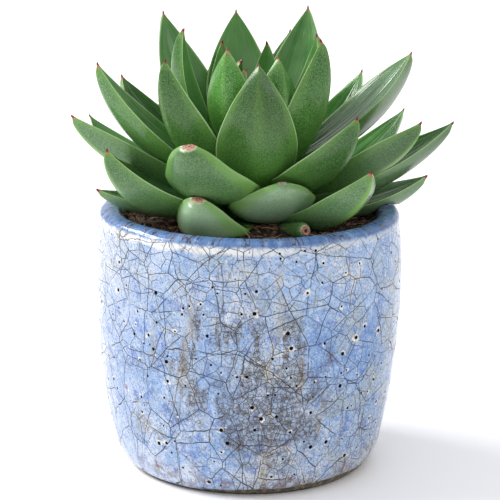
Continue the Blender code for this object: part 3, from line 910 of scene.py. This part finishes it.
# What single leaves do apart from the rule in leaf_habit, in mm and degrees; None leaves one out
HABITS = {
    12: dict(reach=13.5, rise=68, width=16),
    9: dict(reach=29, rise=66, width=18, tone=0.8),
    16: dict(rise=58.5),
    14: dict(rise=61.5),
    8: dict(
        turn=-3.4, reach=27.5, rise=71.5, width=22, bend=63, root=(-1.5, 16), thick=4.2,
        channel=0.10, widest=0.58, tone=1.0),
    7: dict(turn=-20, reach=27, rise=72.5, width=22),
    6: dict(turn=7, reach=28, rise=74.5, width=18),
    5: dict(turn=-10, reach=24, rise=67.5, width=24, bend=60),
    4: dict(turn=18, reach=36, rise=78, width=29),
    3: dict(turn=-6, reach=42, rise=66, width=32, bend=66, tone=0.1),
    2: dict(turn=-26, reach=31.5, rise=73.5, width=33, bend=54, tone=0.5),
    1: dict(turn=4, reach=50, rise=77.5, width=29, bend=55, tone=0.6),
    0: dict(
        turn=1.8, reach=34, rise=66.5, width=33.5, bend=70, roll=3, root=(10.8, 10.2), thick=5.5,
        channel=0.06, widest=0.43, tone=0.0),
    -1: dict(turn=3, reach=40, rise=80.5, width=30),
    -2: dict(reach=64, rise=62, width=28, bend=52, tone=0.95),
    -3: dict(turn=-3, reach=54, rise=45, width=33),
    -4: dict(reach=65, rise=58),
    -5: dict(
        turn=2.4, reach=52.6, rise=36, width=38.7, bend=66, roll=-7.5, root=(8.9, 14), blunt=0.67, thick=8,
        channel=0.01, widest=0.5, scar=3.0, bloom=0.25, tone=0.5),
    -6: dict(
        turn=1, reach=72, rise=62.5, width=37, bend=44, roll=13, root=(12, 16),
        channel=0.12, widest=0.64, tone=0.3),
    -7: dict(reach=61, rise=51, width=28),
    -8: dict(
        turn=-3, reach=37.2, rise=18.2, width=38, bend=61, roll=2, root=(9.4, 6.7), blunt=0.65, thick=8.1,
        channel=0.01, widest=0.53, scar=1.8, bloom=0.9, tone=0.5),
    -9: dict(reach=50, rise=68),
    -10: dict(reach=66, rise=30.5, width=36, bend=84, roll=3, root=(8, 8), thick=8, tone=0.55),
    -11: dict(
        turn=3.6, reach=71.6, rise=39.6, width=28, bend=39, roll=20, root=(13, 9), channel=0.11, widest=0.66),
    -12: dict(reach=76, rise=33),
    -13: None,
    -14: dict(turn=8, reach=70, rise=50, width=26),
    -15: dict(
        turn=6, reach=75, rise=38.5, width=27.5, bend=22, roll=-26, root=(13, 6),
        channel=0.06, widest=0.6, tone=0.7),
    -16: dict(
        turn=6.6, reach=64.2, rise=24.8, width=29.5, bend=55, roll=15, root=(13.7, -1.7),
        channel=0.015, widest=0.59),
    -17: dict(reach=84, rise=36),
    -18: dict(
        turn=15, reach=45.2, rise=13, width=32.5, bend=58, root=(13.5, -5), blunt=0.65, thick=10.6,
        channel=0.02, widest=0.51, scar=3.0, bloom=0.95, tone=0.5),
    -19: dict(reach=86, rise=35.5, width=26, bend=38, tone=0.0),
    -20: dict(reach=90, rise=28, width=22, roll=10),
    -21: None,
    -22: dict(turn=-20, reach=86, rise=32.5, width=26),
    -23: dict(reach=66, rise=10.5, width=19, bend=36, root=(9, 3), thick=5),
    -24: None,
    -25: dict(reach=84, rise=18),
    -26: None,
    -27: dict(turn=-20, reach=75.5, rise=12.5, width=22, bend=38),
}
LEAF_EDGE = 0.7 * MM
ROOT_WIDTH = 0.55
SPINE_WIDTH = 0.75 * MM
SPINE_FROM = 0.9
POINTED = 0.999

leaf_draw = random.Random(4)


def leaf_habit(count):
    """A leaf's form by its place in the spiral, with the departures of its own."""
    age = (INNERMOST - count) / (INNERMOST - OUTERMOST)
    heart = min(1, age / 0.3)
    habit = dict(
        turn=0, roll=0, bend=66 - 6 * age, blunt=POINTED, scar=0, widest=0.52,
        reach=2 + 28 * heart ** 2 + 56 * max(0, age - 0.3) / 0.7,
        rise=55 + 15 * heart ** 2 - 56 * max(0, age - 0.3) / 0.7,
        width=9 + 17 * heart + 3 * age,
        root=(3 + 6 * age, 20 - 22 * age),
        thick=3.5 + 1.5 * heart + 2.5 * age,
        channel=0.22 - 0.10 * age,
        bloom=0.02 + 0.5 * age ** 2,
        age=age,
        tone=leaf_draw.random(),
    )
    habit.update(HABITS.get(count) or {})
    habit["azimuth"] = math.radians(FRONT_LEAF_TURN - GOLDEN_ANGLE * count + habit["turn"])
    return habit


# One point for each leaf carries what the tree needs to grow it
numbers = {name: [] for name in (
    "length", "bend", "half_width", "thick", "channel", "roll", "blunt", "widest", "age", "tone",
    "scar", "bloom")}
arrows = {name: [] for name in ("along", "inward", "side_on")}
roots = []
lean = math.radians(LEAN)
up = Vector((0, -math.sin(lean), math.cos(lean)))
forward = Vector((0, math.cos(lean), math.sin(lean)))
for count in range(OUTERMOST, INNERMOST + 1):
    if HABITS.get(count, {}) is None:
        continue
    habit = leaf_habit(count)
    outward = Vector((math.sin(habit["azimuth"]), -math.cos(habit["azimuth"]), 0))
    root_reach, root_rise = habit["root"]
    root = Vector((outward.x * root_reach, 0, 0)) + forward * outward.y * root_reach + up * root_rise
    tip = outward * habit["reach"] + Vector((0, 0, habit["rise"]))
    along = (tip - root).normalized()
    inward = (up - 0.6 * outward).normalized()
    inward = (inward - along * inward.dot(along)).normalized()
    bend = math.radians(habit["bend"])
    roots.append(root * MM + Vector((0, 0, POT_HEIGHT)))
    for name, way in (("along", along), ("inward", inward), ("side_on", along.cross(inward))):
        arrows[name].append(way)
    habit.update(
        length=(tip - root).length * MM / (math.sin(bend / 2) / (bend / 2)), bend=bend,
        half_width=habit["width"] / 2 * MM, thick=habit["thick"] * MM,
        roll=math.radians(habit["roll"]), scar=habit["scar"] * MM)
    for name, values in numbers.items():
        values.append(habit[name])
spiral = bpy.data.meshes.new("leaf_spiral")
spiral.from_pydata(roots, [], [])
for name, values in numbers.items():
    layer = spiral.attributes.new(name, "FLOAT", "POINT")
    layer.data.foreach_set("value", values)
for name, values in arrows.items():
    layer = spiral.attributes.new(name, "FLOAT_VECTOR", "POINT")
    layer.data.foreach_set("vector", [number for arrow in values for number in arrow])

start, inputs = new_growth("leaf_spiral", {
    "Sections": "Int", "Points round": "Int", "Edge thickness": "Float"})


def number(name):
    return start.node("GeometryNodeInputNamedAttribute", {"data_type": "FLOAT"}, {"Name": name})


def arrow(name):
    return start.node("GeometryNodeInputNamedAttribute", {"data_type": "FLOAT_VECTOR"}, {"Name": name})


sheet = start.node("GeometryNodeMeshGrid", {}, {
    "Size X": 1.0, "Size Y": 1.0, "Vertices X": inputs["Points round"],
    "Vertices Y": inputs["Sections"]}, "Mesh")
grid_x, grid_y, _ = position(start).parts()
s = 1 - (0.5 - grid_y) ** 1.3
ring_turn = (grid_x + 0.5) * math.tau
u = ring_turn.maths("COSINE") * -1
under = grid_x.above(1e-5)
for name, value in (("s", s), ("u", u), ("under", under)):
    sheet = stored(sheet, name, value)
leaves = placed(stored(inputs["Geometry"], "root", position(start), "FLOAT_VECTOR"), Instance=sheet)

s, u, under = number("s"), number("u"), number("under")
bend, length, tone, scar = number("bend"), number("length"), number("tone"), number("scar")
kind = scar.above(0)
blunt, widest = number("blunt"), number("widest")

# The midrib is an arc from the root to the tip
turn = bend * (s - 0.5)
run = length * (turn.maths("SINE") + (bend * 0.5).maths("SINE")) / bend
lift = length * ((bend * 0.5).maths("COSINE") - turn.maths("COSINE")) / bend
along, inward, side_on = arrow("along"), arrow("inward"), arrow("side_on")
middle = arrow("root") + along * run + inward * lift
square = inward * turn.maths("COSINE") - along * turn.maths("SINE")
roll = number("roll")
flat = side_on * roll.maths("COSINE") + square * roll.maths("SINE")
square = square * roll.maths("COSINE") - side_on * roll.maths("SINE")

# The blade widens from its root, then closes in to its point or round its healed end
past = (s - blunt).most(0)
blade = (s / (0.985 + 0.015 * kind)).least(blunt) + 0.10 * (1 - (past * -10).maths("EXPONENT"))
opening = ((blade.least(widest) / widest) * (math.pi / 2)).maths("SINE") ** 1.2
opening = ROOT_WIDTH + (1 - ROOT_WIDTH) * opening
closing = (1 - ((blade - widest).most(0) / (1 - widest)) ** 1.75).most(0) ** 0.95
rounding = (1 - (past / (1 - blunt)) ** 1.98).most(0) ** 0.5
share = opening * closing * rounding
wave = (start.vector(s * 3.5 + u, tone * 50, 0).noise(1.0, 1) - 0.5) * (1 - kind)
spine = (1 - ((s - SPINE_FROM).most(0) / 0.1) ** 2).most(0) ** 0.5 * s.above(SPINE_FROM)
spine = spine * (1 - kind) * SPINE_WIDTH
width = (number("half_width") * share * (1 + wave * 0.06)).most(spine)
width = width * (s * 60).least(1)
fullness = width / number("half_width")
thick = number("thick") * (1 - 0.08 * kind) * (0.8 + 0.5 * s).least(1) * fullness ** 0.6
across = u.maths("ABSOLUTE")
hollow = number("channel") * width * 2 * across ** 1.8
edge = inputs["Edge thickness"] * (1 + 2.5 * kind) * (fullness * 8).least(1)
rim = across ** (10 - 7 * kind)
keel = 1.6 - 0.5 * s * (1 - kind) + 0.4 * kind
belly = thick * (1 - across ** keel).most(0) ** (1 - 0.35 * kind)
belly = edge * (1 - rim) + belly + edge * 0.5 * rim
height = hollow - under * belly - (1 - under) * edge * 0.5 * rim + wave * 0.5 * MM * fullness
grown = middle + flat * (u * width) + square * height
tip = arrow("root") + along * (length * 2 * (bend * 0.5).maths("SINE") / bend)
tip = tip - (inward * (bend * 0.5).maths("COSINE") - along * (bend * 0.5).maths("SINE")) * (kind * 1.3 * MM)
from_end = (grown - tip).length()
crater = (1 - (from_end / scar.most(0.01 * MM)) ** 2).most(0) * kind * 0.9 * MM
grown = grown - along * crater

# Low leaves are laid on the soil and over the lip
grown_x, grown_y, grown_z = grown.parts()
reach = (grown_x * grown_x + grown_y * grown_y).maths("SQRT")
berth = LIP_ROUND + 1.0 * MM
over_lip = (1 - ((reach - LIP_RADIUS) / berth) ** 2).most(0) ** 0.5 * berth
ground = (over_lip + POT_HEIGHT - LIP_ROUND) * over_lip.above(0)
ground = ground.most((SOIL_TOP + 1.6 * MM) * (1 - reach.above(LIP_RADIUS)))
ground = ground + (1 - under) * edge
grown = start.vector(grown_x, grown_y, grown_z.most(ground))

leaves = moved(stored(leaves, "from_end", from_end), Position=grown)
leaves = start.node("GeometryNodeMergeByDistance", {}, {
    "Geometry": leaves, "Distance": 0.004 * MM}, "Geometry")
leaves = start.node("GeometryNodeSetShadeSmooth", {}, {"Geometry": leaves}, "Geometry")
finish_growth(leaves, inputs)
leaves = grow("rosette_leaves", spiral, start.tree, {
    "Sections": 41, "Points round": 33, "Edge thickness": LEAF_EDGE, "Finish": leaf_finish})
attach(leaves, "root")
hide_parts("rosette")
